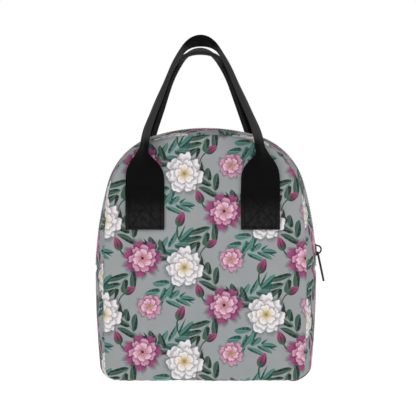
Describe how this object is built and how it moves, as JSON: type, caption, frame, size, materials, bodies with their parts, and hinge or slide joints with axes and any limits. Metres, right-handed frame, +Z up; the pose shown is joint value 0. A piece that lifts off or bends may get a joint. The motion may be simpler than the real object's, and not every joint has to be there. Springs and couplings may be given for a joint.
{
  "type": "insulated lunch bag",
  "caption": "Soft insulated lunch bag with an arched top, a zip along the gusset that frees the front as a flap, and a webbing carry handle on the front and the back.",
  "frame": {"origin": "on the floor under the middle of the bag's base", "axes": "+Z up, -Y out of the front panel, +X towards the side with the zip slider"},
  "size_m": [0.234, 0.1698, 0.3437],
  "materials": {
    "printed_fabric": "woven polyester, printed, matte",
    "foam": "closed-cell foam sheet, matte",
    "foil_lining": "aluminised film, soft sheen",
    "zip_tape": "woven tape, matte",
    "zip_coil": "nylon, satin",
    "zip_metal": "black enamel, satin",
    "webbing": "woven webbing, matte",
    "thread": "polyester thread",
    "binding": "woven tape, matte"
  },
  "bodies": {
    "tub": {"back_panel_cover": "printed_fabric", "back_panel_foam": "foam", "back_panel_lining": "foil_lining", "lower_front_cover": "printed_fabric", "lower_front_foam": "foam", "lower_front_lining": "foil_lining", "base_band_cover": "printed_fabric", "base_band_foam": "foam", "base_band_lining": "foil_lining", "rear_zip_facing_cover": "printed_fabric", "rear_zip_facing_foam": "foam", "rear_zip_facing_lining": "foil_lining", "rear_zipper_tape": "zip_tape", "rear_zipper_coil": "zip_coil", "zipper_end_stop": "zip_metal", "back_handle_ends": "webbing", "back_handle_stitching": "thread", "back_seam_binding": "binding", "lower_front_seam_binding": "binding"},
    "front_flap": {"front_flap_cover": "printed_fabric", "front_flap_foam": "foam", "front_flap_lining": "foil_lining", "front_zip_facing_cover": "printed_fabric", "front_zip_facing_foam": "foam", "front_zip_facing_lining": "foil_lining", "front_zipper_tape": "zip_tape", "front_zipper_coil": "zip_coil", "front_handle_ends": "webbing", "front_handle_stitching": "thread", "flap_seam_binding": "binding"},
    "front_handle": {"front_handle_loop": "webbing"},
    "back_handle": {"back_handle_loop": "webbing"},
    "slider": {"zipper_slider": "zip_metal"},
    "pull": {"zipper_pull": "zip_metal"}
  },
  "joints": [
    {"name": "flap_open", "type": "hinge", "parent": "tub", "child": "front_flap", "pos_m": [0, -0.065, 0.11], "axis": [1, 0, 0], "range_deg": [0, 40]},
    {"name": "front_handle_swing", "type": "hinge", "parent": "front_flap", "child": "front_handle", "pos_m": [0, -0.0676, 0.198], "axis": [1, 0, 0], "range_deg": [0, 135]},
    {"name": "back_handle_swing", "type": "hinge", "parent": "tub", "child": "back_handle", "pos_m": [0, 0.0676, 0.198], "axis": [-1, 0, 0], "range_deg": [0, 135]},
    {"name": "slider_travel", "type": "hinge", "parent": "tub", "child": "slider", "pos_m": [-0.227, 0, 0.104], "axis": [0, -1, 0], "range_deg": [0, 10]},
    {"name": "pull_swing", "type": "hinge", "parent": "slider", "child": "pull", "pos_m": [0.11416, 0, 0.12865], "axis": [0, -1, 0], "range_deg": [0, 160]}
  ]
}
